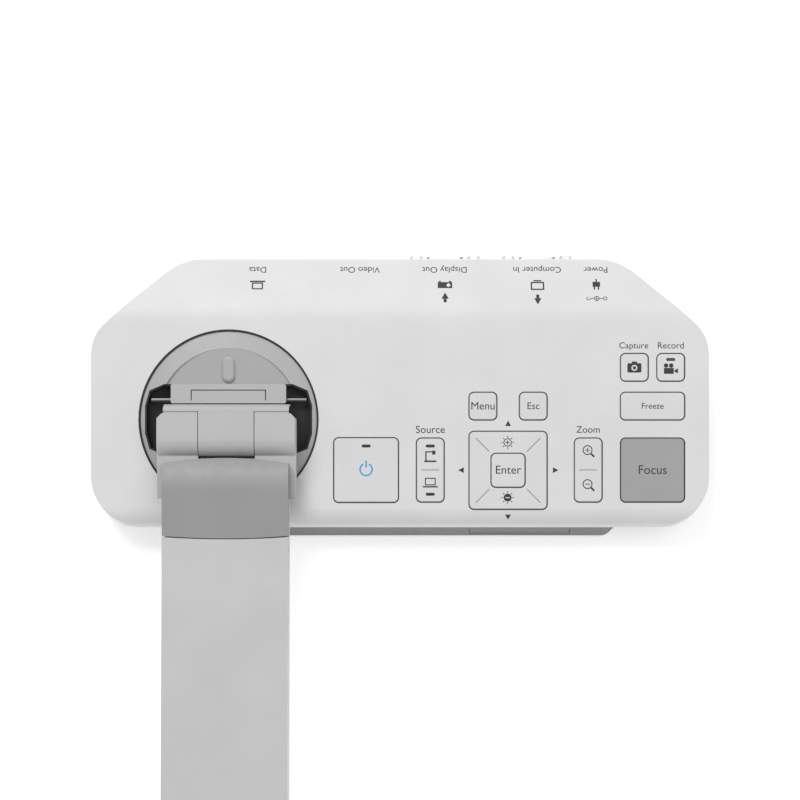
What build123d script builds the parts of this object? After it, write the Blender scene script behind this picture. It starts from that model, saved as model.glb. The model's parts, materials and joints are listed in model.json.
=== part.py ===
from build123d import *
import math
import os

os.makedirs("parts", exist_ok=True)

# A desktop document camera: a weighted base with a sloping control panel, a swivelling turret,
# a low lower arm, an upright upper arm and a camera head. Millimetres, +Z up, front towards -Y,
# origin on the table under the middle of the base.

# ---- Base -------------------------------------------------------------------------------------
BASE_W = 265.3
BASE_D = 114.5
HALF_W = BASE_W / 2
HALF_D = BASE_D / 2
WALL = 2.4
SHELL_FOOT = 14.5
FRONT_TOP = 24.7
RIDGE_Y, RIDGE_Z = 31.56, 43.58
REAR_TOP = 37.69
SIDE_CORNER_Y = 21.5
REAR_CORNER_X = 93.5
FRONT_R, SIDE_R, REAR_R = 19.5, 17.0, 29.0
BROW_R, RIDGE_R, TAIL_R = 8.0, 18.0, 3.0

# ---- Plinth -----------------------------------------------------------------------------------
FOOT_GAP = 1.2
PLINTH_FRONT = 58.75
PLINTH_FRONT_X = 90.0
PLINTH_SIDE_X = 126.0
PLINTH_REAR_Y = 54.5
PLINTH_FLARE = math.degrees(math.atan(1.5 / (SHELL_FOOT - FOOT_GAP)))
FLOOR_TOP = FOOT_GAP + 2.7
RIM = 2.0
TUB_WALL = 3.0
SLOT_X0, SLOT_X1 = 30.0, 74.0
SLOT_Z0, SLOT_Z1 = 4.4, 12.2

# ---- Control panel ----------------------------------------------------------------------------
SLOPE = 12.0
SIN, COS = math.sin(math.radians(SLOPE)), math.cos(math.radians(SLOPE))
PANEL = Plane(origin=(0, -5.41, 35.72), x_dir=(1, 0, 0), z_dir=(0, -SIN, COS))
UP_PANEL = Axis((0, 0, 0), (0, -SIN, COS))
KEY_GAP = 0.45
KEY_R = 2.0
KEY_TRAVEL = 0.6
KEY_TOP = -0.1
FLANGE_TOP, FLANGE_T = -2.8, 1.0
ROCKER_FLANGE_TOP = -3.6
STEM_END = -5.0
SWITCH_TOP = -5.9
BOARD_TOP, BOARD_T = -7.4, 1.6

# name: x across, u up the panel, width, depth
PUSH_KEYS = {
    "power_key": (-14.55, -30.1, 27.5, 27.5),
    "menu_key": (35.6, -2.64, 11.6, 11.6),
    "escape_key": (57.2, -2.64, 11.6, 11.6),
    "enter_key": (46.4, -30.2, 14.3, 14.3),
    "capture_key": (100.6, 14.0, 11.6, 11.6),
    "record_key": (116.2, 14.0, 11.6, 11.6),
    "freeze_key": (108.4, -2.64, 27.3, 11.6),
    "focus_key": (108.4, -30.1, 27.2, 27.2),
}
ROCKERS = {
    "source_rocker": (13.0, -30.1, 11.6, 27.2),
    "zoom_rocker": (80.8, -30.1, 11.6, 27.2),
}
PAD_X, PAD_U, PAD_W = 46.4, -30.2, 33.2
WINDOW_W, WINDOW_D, WINDOW_T = 3.9, 1.3, 0.8
WINDOW_RISE = 10.35

# ---- Turret -----------------------------------------------------------------------------------
TURRET_X, TURRET_U = -73.6, -8.37
HOLE_R, TURRET_R, BAND_R = 38.7, 37.85, 30.7
TURRET_TOP, TURRET_RIM, TURRET_BOTTOM = 1.0, -1.0, -10.0
POCKET_X = 35.9
POCKET_FRONT, POCKET_REAR, POCKET_FLOOR = -14.4, 15.2, -8.0
WELL_WALL = 2.0
SPINDLE_R, SPINDLE_FIT = 7.0, 0.05
SADDLE_X = 24.7
KNUCKLE_X = 11.75

# ---- Lower arm --------------------------------------------------------------------------------
PIVOT_U, PIVOT_N = -15.5, 9.5
ARM_DROP = 9.5
ARM_HALF = 26.5
ARM_LOW, ARM_HIGH = -7.0, 11.5
KNUCKLE_TOP, KNUCKLE_BACK = 7.0, -10.4
KNUCKLE_ROUND = 8.3
KNUCKLE_LOW = -6.6
FAIRING_GAP, FAIRING_T = 0.3, 0.8
CAP_START, CAP_END = 9.3, 43.2
ARM_END = 210.0
SHAFT_R, SHAFT_FIT = 4.0, 0.05
CHEEK_END = 26.5
SPLIT_W = 1.0

# ---- Elbow and upper arm ----------------------------------------------------------------------
ELBOW_S, ELBOW_W = 199.0, 21.3
ELBOW_R = 9.5
UPPER_LEAN = 11.6
UPPER_LENGTH = 190.0
UPPER_HALF, UPPER_DEPTH = 24.0, 8.0
UPPER_START, UPPER_END = 11.5, 176.5
EAR_IN, EAR_OUT = 14.0, 22.0
TILT_EAR_IN, TILT_EAR_R = 10.0, 8.0

# ---- Camera head ------------------------------------------------------------------------------
HEAD_START, HEAD_END = 26.0, 124.0
HEAD_HALF, HEAD_RISE = 20.0, 13.0
LENS_D = 100.0
LAMP_D = 74.0
ROLL_R, ROLL_FIT = 5.0, 0.05


def on_panel(x, u, n=0.0):
    """Plane parallel to the control panel: x across, u up the slope, n above the panel."""
    return Plane(origin=PANEL.from_local_coords((x, u, n)), x_dir=(1, 0, 0), z_dir=PANEL.z_dir)


def on_turret(n, x=0.0, v=0.0):
    """Plane square to the turret's axis at height n over the panel."""
    return on_panel(TURRET_X + x, TURRET_U + v, n)


def panel_height(y):
    """World height of the control panel at the depth y."""
    return PANEL.origin.Z + (y - PANEL.origin.Y) * SIN / COS


def corner(sketch, x, y):
    """Vertex of a sketch nearest to the point x, y."""
    return sketch.vertices().sort_by_distance((x, y))[0]


def prism(plane, width, depth, height, radius=0.0, mode=Mode.ADD):
    """Upright block on a plane with rounded upright corners."""
    with BuildSketch(plane) as base:
        if radius > 0:
            RectangleRounded(width, depth, radius)
        else:
            Rectangle(width, depth)
    extrude(base.sketch, amount=height, mode=mode)


def rod(plane, radius, height, mode=Mode.ADD):
    """Upright cylinder on a plane."""
    with BuildSketch(plane) as base:
        Circle(radius)
    extrude(base.sketch, amount=height, mode=mode)


def outline(inset):
    """Plan outline of the base, drawn in by inset."""
    with BuildSketch() as plan:
        with BuildLine():
            Polyline(
                (-HALF_W, -HALF_D), (HALF_W, -HALF_D), (HALF_W, SIDE_CORNER_Y), (REAR_CORNER_X, HALF_D),
                (-REAR_CORNER_X, HALF_D), (-HALF_W, SIDE_CORNER_Y), close=True,
            )
        make_face()
        for side in (-1, 1):
            fillet(corner(plan, side * HALF_W, -HALF_D), FRONT_R)
            fillet(corner(plan, side * HALF_W, SIDE_CORNER_Y), SIDE_R)
            fillet(corner(plan, side * REAR_CORNER_X, HALF_D), REAR_R)
        if inset > 0:
            offset(amount=-inset, kind=Kind.INTERSECTION)
    return plan.sketch


def base_form(inset, foot):
    """Outer form of the base above height foot, drawn in by inset on every side but the foot."""
    with BuildPart() as form:
        with BuildSketch(Plane.YZ) as side:
            with BuildLine():
                Polyline(
                    (-HALF_D, foot), (-HALF_D, FRONT_TOP), (RIDGE_Y, RIDGE_Z), (HALF_D, REAR_TOP),
                    (HALF_D, foot), close=True,
                )
            make_face()
            fillet(corner(side, -HALF_D, FRONT_TOP), BROW_R)
            fillet(corner(side, RIDGE_Y, RIDGE_Z), RIDGE_R)
            fillet(corner(side, HALF_D, REAR_TOP), TAIL_R)
            if inset > 0:
                offset(amount=-inset, kind=Kind.INTERSECTION)
        extrude(amount=HALF_W + 1, both=True)
        extrude(outline(inset), amount=RIDGE_Z + 1, mode=Mode.INTERSECT)
    return form.part


def tub_form(inset, low, high):
    """Flared plinth block from height low to height high, drawn in by inset."""
    side_y = PLINTH_FRONT - (PLINTH_SIDE_X - PLINTH_FRONT_X)
    with BuildPart() as form:
        with BuildSketch(Plane.XY.offset(FOOT_GAP)) as plan:
            with BuildLine():
                Polyline(
                    (-PLINTH_FRONT_X, -PLINTH_FRONT), (PLINTH_FRONT_X, -PLINTH_FRONT),
                    (PLINTH_SIDE_X, -side_y), (PLINTH_SIDE_X, SIDE_CORNER_Y - 4), (REAR_CORNER_X - 4, PLINTH_REAR_Y),
                    (4 - REAR_CORNER_X, PLINTH_REAR_Y), (-PLINTH_SIDE_X, SIDE_CORNER_Y - 4),
                    (-PLINTH_SIDE_X, -side_y), close=True,
                )
            make_face()
            for side in (-1, 1):
                fillet(corner(plan, side * PLINTH_FRONT_X, -PLINTH_FRONT), 5)
                fillet(corner(plan, side * PLINTH_SIDE_X, -side_y), 12)
                fillet(corner(plan, side * PLINTH_SIDE_X, SIDE_CORNER_Y - 4), 14)
                fillet(corner(plan, side * (REAR_CORNER_X - 4), PLINTH_REAR_Y), 24)
            if inset > 0:
                offset(amount=-inset, kind=Kind.INTERSECTION)
        extrude(amount=SHELL_FOOT - FOOT_GAP, taper=PLINTH_FLARE)
        with BuildSketch(Plane.XY.offset(low)):
            Rectangle(BASE_W, 2 * BASE_D)
        extrude(amount=high - low, mode=Mode.INTERSECT)
    return form.part


def finish(name, piece):
    """Label a piece and write it to its own file."""
    piece.part.label = name
    export_step(piece.part, f"parts/{name}.step")


# ---- Rear sockets: x along the rear wall, width, height ---------------------------------------
REAR_IN = HALF_D - WALL
CARD_TOP, CARD_T = 19.75, 1.6
CARD_X0, CARD_X1 = -76.0, 89.6
CARD_Y0 = 30.0
ANALOG_X = (19.7, 60.0)
ANALOG_Z = 26.0
JACK_SPACING = 24.99
JACK_HOLE_R = 1.75
D_WIDTH, D_HEIGHT, D_OUT = 16.9, 8.3, 2.6
HEX_AF, HEX_OUT, HEX_BORE = 5.0, 3.65, 1.42
VIDEO_X, VIDEO_W, VIDEO_H = -17.3, 15.0, 6.4
DATA_X, DATA_W, DATA_H = -61.5, 12.0, 11.0
POWER_X, POWER_W, POWER_H = 84.7, 9.4, 11.0
SCREW_POSTS = ((-119, -22), (90.9, -22), (-104, 28), (104, 28))
SCREW_R = 1.6
POST_R = 2.9


def rear(x, z, y):
    """Plane facing rearwards at x, z on the plane y: local x runs towards -X, local y up."""
    return Plane(origin=(x, y, z), x_dir=(-1, 0, 0), z_dir=(0, 1, 0))


def d_shape(width, height, radius):
    """Outline of a D-shaped shell, wider along its upper edge."""
    slant = height * math.tan(math.radians(10))
    with BuildSketch() as shape:
        with BuildLine():
            Polyline(
                (-width / 2, height / 2), (width / 2, height / 2), (width / 2 - slant, -height / 2),
                (slant - width / 2, -height / 2), close=True,
            )
        make_face()
        fillet(shape.vertices(), radius)
    return shape.sketch


# ---- Upper shell ------------------------------------------------------------------------------
outer_form = base_form(0, SHELL_FOOT)
inner_form = base_form(WALL, SHELL_FOOT - 6)

with BuildPart() as top_cover:
    add(outer_form)
    add(inner_form, mode=Mode.SUBTRACT)
    # posts for the base screws
    for x, y in SCREW_POSTS:
        post_foot = SHELL_FOOT + 0.5
        rod(Plane.XY.offset(post_foot).move(Location((x, y, 0))), POST_R, panel_height(y) - 2 - post_foot)
    # turret well
    rod(on_turret(TURRET_BOTTOM - 0.5 - WELL_WALL), HOLE_R + WELL_WALL, 10.5)
    rod(on_turret(TURRET_BOTTOM - 0.5), HOLE_R, 20, mode=Mode.SUBTRACT)
    rod(on_turret(TURRET_BOTTOM - 5), SPINDLE_R + 3, 10, mode=Mode.SUBTRACT)
    # key openings
    for x, u, width, depth in [*PUSH_KEYS.values(), *ROCKERS.values(), (PAD_X, PAD_U, PAD_W, PAD_W)]:
        prism(on_panel(x, u, -8), width + 2 * KEY_GAP, depth + 2 * KEY_GAP, 12, KEY_R + KEY_GAP, Mode.SUBTRACT)
    # rear openings
    for x in ANALOG_X:
        with BuildSketch(rear(x, ANALOG_Z, REAR_IN - 1)) as hole:
            add(d_shape(D_WIDTH + 0.6, D_HEIGHT + 0.6, 2.2))
        extrude(hole.sketch, amount=8, mode=Mode.SUBTRACT)
        for side in (-1, 1):
            rod(rear(x + side * JACK_SPACING / 2, ANALOG_Z, REAR_IN - 1), JACK_HOLE_R, 8, Mode.SUBTRACT)
    for x, width, height in (
        (VIDEO_X, VIDEO_W, VIDEO_H), (DATA_X, DATA_W, DATA_H), (POWER_X, POWER_W, POWER_H)
    ):
        prism(rear(x, CARD_TOP + height / 2, REAR_IN - 1), width + 0.6, height + 0.6, 8, 0.6, Mode.SUBTRACT)
    for x, y in SCREW_POSTS:
        rod(Plane.XY.offset(SHELL_FOOT).move(Location((x, y, 0))), SCREW_R - 0.1, 9, Mode.SUBTRACT)
finish("top_cover", top_cover)

# ---- Plinth -----------------------------------------------------------------------------------
FEET = ((-96, -40), (96, -40), (-92, 38), (92, 38), (0, 0))
FOOT_R = 6.0
slot_middle = (SLOT_X0 + SLOT_X1) / 2

with BuildPart() as bottom_cover:
    add(tub_form(0, FOOT_GAP, SHELL_FOOT))
    with BuildSketch(Plane.XY.offset(SHELL_FOOT)):
        add(outline(WALL + 0.2))
    extrude(amount=RIM)
    add(tub_form(TUB_WALL, FLOOR_TOP, SHELL_FOOT - 1.8), mode=Mode.SUBTRACT)
    with BuildSketch(Plane.XY.offset(SHELL_FOOT - 2.8)):
        add(outline(9.5))
    extrude(amount=8, mode=Mode.SUBTRACT)
    # room for the turret well
    rod(on_turret(TURRET_BOTTOM - 0.8 - WELL_WALL), HOLE_R + WELL_WALL + 0.3, 20, Mode.SUBTRACT)
    for x, y in SCREW_POSTS:
        rod(Plane.XY.offset(FOOT_GAP).move(Location((x, y, 0))), POST_R, SHELL_FOOT - FOOT_GAP + 0.5)
        rod(Plane.XY.offset(FOOT_GAP).move(Location((x, y, 0))), SCREW_R, 20, Mode.SUBTRACT)
        rod(Plane.XY.offset(FOOT_GAP).move(Location((x, y, 0))), 2.5, 2.2, Mode.SUBTRACT)
    for x, y in FEET:
        rod(Plane.XY.offset(FOOT_GAP).move(Location((x, y, 0))), FOOT_R, 1.0, Mode.SUBTRACT)
    with BuildSketch(Plane.XY.offset(SLOT_Z0)):
        with Locations((slot_middle, -PLINTH_FRONT)):
            Rectangle(SLOT_X1 - SLOT_X0, 12)
    extrude(amount=SLOT_Z1 - SLOT_Z0, mode=Mode.SUBTRACT)
finish("bottom_cover", bottom_cover)

with BuildPart() as slot_cover:
    add(tub_form(0.15, SLOT_Z0 + 0.25, SLOT_Z1 - 0.25))
    add(tub_form(TUB_WALL, FOOT_GAP, SHELL_FOOT), mode=Mode.SUBTRACT)
    with BuildSketch(Plane.XY):
        with Locations((slot_middle, -PLINTH_FRONT)):
            Rectangle(SLOT_X1 - SLOT_X0 - 0.5, 20)
    extrude(amount=SHELL_FOOT, mode=Mode.INTERSECT)
finish("slot_cover", slot_cover)

with BuildPart() as rubber_feet:
    for x, y in FEET:
        rod(Plane.XY.move(Location((x, y, 0))), FOOT_R - 0.1, FOOT_GAP + 1.0)
    chamfer(rubber_feet.edges().group_by(Axis.Z)[0], 0.4)
finish("rubber_feet", rubber_feet)

with BuildPart() as base_screws:
    for x, y in SCREW_POSTS:
        rod(Plane.XY.offset(FOOT_GAP + 0.4).move(Location((x, y, 0))), 2.4, 1.8)
        rod(Plane.XY.offset(FOOT_GAP + 2.2).move(Location((x, y, 0))), SCREW_R - 0.1, 18)
        prism(Plane.XY.offset(FOOT_GAP + 0.4).move(Location((x, y, 0))), 3.6, 0.8, 0.9, mode=Mode.SUBTRACT)
        prism(Plane.XY.offset(FOOT_GAP + 0.4).move(Location((x, y, 0))), 0.8, 3.6, 0.9, mode=Mode.SUBTRACT)
finish("base_screws", base_screws)

with BuildPart() as ballast_plate:
    prism(Plane.XY.offset(FLOOR_TOP), 172, 80, 7, 8)
    chamfer(ballast_plate.faces().sort_by(Axis.Z)[-1].edges(), 0.8)
finish("ballast_plate", ballast_plate)

# ---- Electronics ------------------------------------------------------------------------------
with BuildPart() as main_board:
    with BuildSketch(Plane.XY.offset(CARD_TOP - CARD_T)):
        with Locations(((CARD_X0 + CARD_X1) / 2, (CARD_Y0 + REAR_IN - 1) / 2)):
            RectangleRounded(CARD_X1 - CARD_X0, REAR_IN - 1 - CARD_Y0, 2)
    extrude(amount=CARD_T)
    # processor and memory packages
    for x, y, width, height in ((-40, 38, 12, 1.4), (-8, 35, 14, 1.8), (40, 34, 8, 1.0)):
        prism(Plane.XY.offset(CARD_TOP).move(Location((x, y, 0))), width, 7, height)
finish("main_board", main_board)

with BuildPart() as button_board:
    prism(on_panel(46, -14, BOARD_TOP - BOARD_T), 148, 62, BOARD_T, 3)
    for x, y in SCREW_POSTS:
        rod(Plane.XY.offset(SHELL_FOOT).move(Location((x, y, 0))), POST_R + 0.6, 30, Mode.SUBTRACT)
finish("button_board", button_board)

switch_points = [(x, u) for x, u, width, depth in PUSH_KEYS.values()]
switch_points += [(x, u + side * 9) for x, u, width, depth in ROCKERS.values() for side in (-1, 1)]
switch_points += [(PAD_X, PAD_U + side * 12) for side in (-1, 1)]
with BuildPart() as key_switches:
    for x, u in switch_points:
        prism(on_panel(x, u, BOARD_TOP), 5, 5, 1.0, 0.3)
        rod(on_panel(x, u, BOARD_TOP + 1.0), 1.4, SWITCH_TOP - BOARD_TOP - 1.0)
finish("key_switches", key_switches)

with BuildPart() as analog_video_ports:
    for x in ANALOG_X:
        with BuildSketch(rear(x, ANALOG_Z, REAR_IN - 12)) as block:
            Rectangle(30.8, 2 * (ANALOG_Z - CARD_TOP))
        extrude(block.sketch, amount=12)
        with BuildSketch(rear(x, ANALOG_Z, REAR_IN)) as shell:
            add(d_shape(D_WIDTH, D_HEIGHT, 2.0))
            add(d_shape(D_WIDTH - 1.2, D_HEIGHT - 1.2, 1.4), mode=Mode.SUBTRACT)
        extrude(shell.sketch, amount=WALL + D_OUT)
        with BuildSketch(rear(x, ANALOG_Z, REAR_IN)) as insert:
            add(d_shape(D_WIDTH - 1.2, D_HEIGHT - 1.2, 1.4))
        extrude(insert.sketch, amount=WALL + D_OUT - 1.2)
        for row, shift in ((1.98, 0.0), (0.0, 1.1), (-1.98, 0.0)):
            for step in range(-2, 3):
                hole_x = x + 2.2 * step + shift * 0.5
                rod(rear(hole_x, ANALOG_Z + row, HALF_D - 1), 0.45, 6, Mode.SUBTRACT)
        for side in (-1, 1):
            rod(rear(x + side * JACK_SPACING / 2, ANALOG_Z, REAR_IN - 6), JACK_HOLE_R, 10, Mode.SUBTRACT)
finish("analog_video_ports", analog_video_ports)

with BuildPart() as jack_screws:
    for x in ANALOG_X:
        for side in (-1, 1):
            place = x + side * JACK_SPACING / 2
            rod(rear(place, ANALOG_Z, REAR_IN - 5.5), SCREW_R - 0.15, WALL + 5.5)
            with BuildSketch(rear(place, ANALOG_Z, HALF_D)) as head:
                RegularPolygon(HEX_AF / 2, 6, major_radius=False)
            extrude(head.sketch, amount=HEX_OUT)
            rod(rear(place, ANALOG_Z, HALF_D + HEX_OUT - 3.4), HEX_BORE, 5, Mode.SUBTRACT)
finish("jack_screws", jack_screws)


def socket(x, width, height, depth, lip):
    """Metal socket shell on the main board, open to the rear."""
    middle = CARD_TOP + height / 2
    prism(rear(x, middle, HALF_D - depth), width, height, depth, 0.5)
    prism(rear(x, middle, HALF_D - depth + 2), width - 2 * lip, height - 2 * lip, depth, 0.3, Mode.SUBTRACT)


with BuildPart() as digital_video_port:
    socket(VIDEO_X, VIDEO_W, VIDEO_H, 13, 0.4)
    prism(rear(VIDEO_X, CARD_TOP + VIDEO_H / 2 + 2.0, HALF_D - 11), 11.5, 0.9, 9)
finish("digital_video_port", digital_video_port)

with BuildPart() as data_port:
    socket(DATA_X, DATA_W, DATA_H, 16, 0.6)
    prism(rear(DATA_X, CARD_TOP + DATA_H / 2 + 2.6, HALF_D - 14), 5.6, 1.6, 10)
finish("data_port", data_port)

with BuildPart() as power_jack:
    prism(rear(POWER_X, CARD_TOP + POWER_H / 2, HALF_D - 14), POWER_W, POWER_H, 14, 0.8)
    rod(rear(POWER_X, CARD_TOP + POWER_H / 2, HALF_D - 10), 2.75, 12, Mode.SUBTRACT)
    rod(rear(POWER_X, CARD_TOP + POWER_H / 2, HALF_D - 10), 1.0, 8.5)
finish("power_jack", power_jack)

# ---- Keys -------------------------------------------------------------------------------------


def key_cap(x, u, width, depth, flange_top, switch_offsets):
    """Key cap with a retaining flange under the panel and a stem over each switch."""
    height = KEY_TOP - flange_top
    prism(on_panel(x, u, flange_top), width, depth, height, KEY_R)
    for switch_u in switch_offsets:
        rod(on_panel(x, u + switch_u, STEM_END), 2.0, flange_top - STEM_END)


def cut_window(x, u):
    """Pocket for an indicator window in a key's face."""
    prism(on_panel(x, u, KEY_TOP - WINDOW_T), WINDOW_W, WINDOW_D, 2, WINDOW_D * 0.45, Mode.SUBTRACT)


def key_window(x, u):
    """Clear indicator window that fills its pocket."""
    prism(on_panel(x, u, KEY_TOP - WINDOW_T), WINDOW_W, WINDOW_D, WINDOW_T, WINDOW_D * 0.45)


WINDOWS = {
    "power_indicator": [(-14.55, -30.1 + WINDOW_RISE)],
    "source_indicators": [(13.0, -30.1 + WINDOW_RISE), (13.0, -30.1 - WINDOW_RISE)],
    "record_indicator": [(116.2, 14.0 + 3.4)],
}
window_points = [point for points in WINDOWS.values() for point in points]

for name, (x, u, width, depth) in PUSH_KEYS.items():
    with BuildPart() as key:
        key_cap(x, u, width, depth, FLANGE_TOP, [0])
        prism(on_panel(x, u, FLANGE_TOP - FLANGE_T), width + 1.4, depth + 1.4, FLANGE_T, KEY_R)
        chamfer(key.faces().sort_by(UP_PANEL)[-1].edges(), 0.3)
        for window_x, window_u in window_points:
            if abs(window_x - x) < width / 2 and abs(window_u - u) < depth / 2:
                cut_window(window_x, window_u)
    finish(name, key)

for name, (x, u, width, depth) in ROCKERS.items():
    with BuildPart() as rocker:
        key_cap(x, u, width, depth, ROCKER_FLANGE_TOP, [-9, 9])
        prism(on_panel(x, u, ROCKER_FLANGE_TOP - 0.8), width + 2.2, depth - 6, 0.8, KEY_R)
        chamfer(rocker.faces().sort_by(UP_PANEL)[-1].edges(), 0.3)
        for window_x, window_u in window_points:
            if abs(window_x - x) < width / 2 and abs(window_u - u) < depth / 2:
                cut_window(window_x, window_u)
    finish(name, rocker)

with BuildPart() as menu_pad:
    key_cap(PAD_X, PAD_U, PAD_W, PAD_W, ROCKER_FLANGE_TOP, [-12, 12])
    prism(on_panel(PAD_X, PAD_U, ROCKER_FLANGE_TOP - 0.8), PAD_W + 2, PAD_W - 8, 0.8, KEY_R)
    chamfer(menu_pad.faces().sort_by(UP_PANEL)[-1].edges(), 0.3)
    enter_hole = PUSH_KEYS["enter_key"][2] + 2 * KEY_GAP
    prism(on_panel(PAD_X, PAD_U, -8), enter_hole, enter_hole, 12, KEY_R + KEY_GAP, Mode.SUBTRACT)
    prism(on_panel(PAD_X, PAD_U, -8), enter_hole + 1.7, enter_hole + 1.7, 8 + FLANGE_TOP + 0.7, KEY_R, Mode.SUBTRACT)
finish("menu_pad", menu_pad)

for name, points in WINDOWS.items():
    with BuildPart() as window:
        for x, u in points:
            key_window(x, u)
    finish(name, window)

# ---- Turret -----------------------------------------------------------------------------------
LINER_T = 0.8
SADDLE_U0 = -1.4


def pocket_outline(inset, height):
    """Outline of the turret's pocket with cut corners, drawn in by inset."""
    with BuildSketch(on_turret(height)) as pocket:
        with BuildLine():
            Polyline(
                (-27.5, POCKET_REAR), (27.5, POCKET_REAR), (34.0, 12.5), (POCKET_X, 6), (POCKET_X, -6),
                (34.0, -12.7), (29.5, POCKET_FRONT), (-29.5, POCKET_FRONT), (-34.0, -12.7),
                (-POCKET_X, -6), (-POCKET_X, 6), (-34.0, 12.5), close=True,
            )
        make_face()
        if inset > 0:
            offset(amount=-inset, kind=Kind.INTERSECTION)
    return pocket.sketch


with BuildPart() as turret_disc:
    with BuildSketch(Plane(origin=on_turret(0).origin, x_dir=(1, 0, 0), z_dir=(0, -COS, -SIN))) as half:
        with BuildLine():
            Polyline(
                (0, TURRET_BOTTOM), (TURRET_R, TURRET_BOTTOM), (TURRET_R, TURRET_RIM),
                (BAND_R, TURRET_TOP), (0, TURRET_TOP), close=True,
            )
        make_face()
    revolve(half.sketch, axis=Axis(on_turret(0).origin, PANEL.z_dir))
    # crescent behind the pocket slopes down towards the front
    crescent = Plane(origin=on_turret(-0.4, 0, POCKET_REAR).origin, x_dir=(1, 0, 0), z_dir=PANEL.z_dir)
    crescent = crescent.rotated((5, 0, 0))
    with BuildSketch(crescent) as slope:
        with Locations((0, 14)):
            Rectangle(80, 30)
    with BuildSketch(on_turret(-4)) as rim:
        Circle(BAND_R)
    crescent_block = extrude(slope.sketch, amount=8, mode=Mode.PRIVATE)
    rim_block = extrude(rim.sketch, amount=10, mode=Mode.PRIVATE)
    add(crescent_block & rim_block, mode=Mode.SUBTRACT)
    # pointer on the crescent
    prism(on_turret(-4, 0, 21.6), 5.8, 11.4, 5.6, 2.85)
    fillet(turret_disc.faces().sort_by(UP_PANEL)[-1].edges(), 1.6)
    # pocket
    extrude(pocket_outline(0, POCKET_FLOOR), amount=14, mode=Mode.SUBTRACT)
finish("turret_disc", turret_disc)

with BuildPart() as pocket_liner:
    extrude(pocket_outline(0, POCKET_FLOOR), amount=-POCKET_FLOOR - 0.5)
    extrude(pocket_outline(LINER_T, POCKET_FLOOR + LINER_T), amount=10, mode=Mode.SUBTRACT)
    # room for the saddle and the hinge bracket
    prism(on_panel(TURRET_X, SADDLE_U0 + 10, POCKET_FLOOR), 2 * SADDLE_X, 20, 10, mode=Mode.SUBTRACT)
    prism(on_panel(TURRET_X, PIVOT_U + 1.0, POCKET_FLOOR), 2 * KNUCKLE_X, 15, 10, mode=Mode.SUBTRACT)
finish("pocket_liner", pocket_liner)

saddle_rear = TURRET_U + POCKET_REAR - 0.02
saddle_mid = (SADDLE_U0 + saddle_rear) / 2
LID_X, LID_DEPTH = 15.7, 4.2
LID_U0 = -0.2
ROD_U, ROD_N = 0.1, -3.0
with BuildPart() as saddle_block:
    prism(on_panel(TURRET_X, saddle_mid, POCKET_FLOOR), 2 * SADDLE_X, saddle_rear - SADDLE_U0, 9.0, 0.8)
    lid_gap = 0.45
    lid_cut = on_panel(TURRET_X, LID_U0 + (LID_DEPTH + lid_gap) / 2, -1.2)
    prism(lid_cut, 2 * (LID_X + lid_gap), LID_DEPTH + lid_gap, 4, mode=Mode.SUBTRACT)
    for side in (-1, 1):
        rod(Plane(origin=on_panel(TURRET_X + side * 20, ROD_U, ROD_N).origin, z_dir=(side, 0, 0)), 1.05, 20,
            Mode.SUBTRACT)
finish("saddle_block", saddle_block)

with BuildPart() as saddle_lid:
    prism(on_panel(TURRET_X, LID_U0 + LID_DEPTH / 2, -1.2), 2 * LID_X, LID_DEPTH, 2.15)
finish("saddle_lid", saddle_lid)

with BuildPart() as pocket_rods:
    for side in (-1, 1):
        rod(Plane(origin=on_panel(TURRET_X + side * 20, ROD_U, ROD_N).origin, z_dir=(side, 0, 0)), 1.0, 13.3)
finish("pocket_rods", pocket_rods)

well_floor = TURRET_BOTTOM - 0.5
with BuildPart() as swivel_bush:
    rod(on_turret(well_floor - WELL_WALL), SPINDLE_R + 3, WELL_WALL)
    rod(on_turret(well_floor - WELL_WALL - 0.8), SPINDLE_R + 5, 0.8)
    rod(on_turret(well_floor - 4), SPINDLE_R + SPINDLE_FIT, 8, Mode.SUBTRACT)
finish("swivel_bush", swivel_bush)

with BuildPart() as swivel_spindle:
    rod(on_turret(well_floor - 5.5), SPINDLE_R, 6.0)
    rod(on_turret(well_floor - 5.5), SPINDLE_R + 4, 2.3)
    rod(on_turret(well_floor - 6), 3.0, 8, Mode.SUBTRACT)
finish("swivel_spindle", swivel_spindle)

# ---- Arm planes -------------------------------------------------------------------------------
PIVOT = PANEL.from_local_coords((TURRET_X, PIVOT_U, PIVOT_N))
drop = math.radians(ARM_DROP)
# side plane of the lower arm: local x runs out along the arm, local y up from it
ARM = Plane(origin=PIVOT, x_dir=(0, -math.cos(drop), -math.sin(drop)), z_dir=(-1, 0, 0))
ELBOW = ARM.from_local_coords((ELBOW_S, ELBOW_W, 0))
lean = math.radians(UPPER_LEAN)
# side plane of the upper arm: local x runs up it, local y to the rear
UPPER = Plane(origin=ELBOW, x_dir=(0, -math.sin(lean), math.cos(lean)), z_dir=(-1, 0, 0))
TILT = UPPER.from_local_coords((UPPER_LENGTH, 0, 0))
# side plane of the head: local x runs forwards, local y up
HEAD = Plane(origin=TILT, x_dir=(0, -1, 0), z_dir=(-1, 0, 0))
# side plane of the turret's fixed knuckle, square to the panel
FIXED = Plane(origin=PIVOT, x_dir=(0, -COS, -SIN), z_dir=(-1, 0, 0))


def slab(plane, near, far, mode=Mode.ADD, points=(), rounds=()):
    """Flat-sided piece from an outline in a side plane, between two distances from that plane.

    rounds lists (x, y, radius) for the corners to round off.
    """
    with BuildSketch(plane.offset(near)) as side:
        with BuildLine():
            Polyline(*points, close=True)
        make_face()
        for x, y, radius in rounds:
            fillet(corner(side, x, y), radius)
    extrude(side.sketch, amount=far - near, mode=mode)


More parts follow.
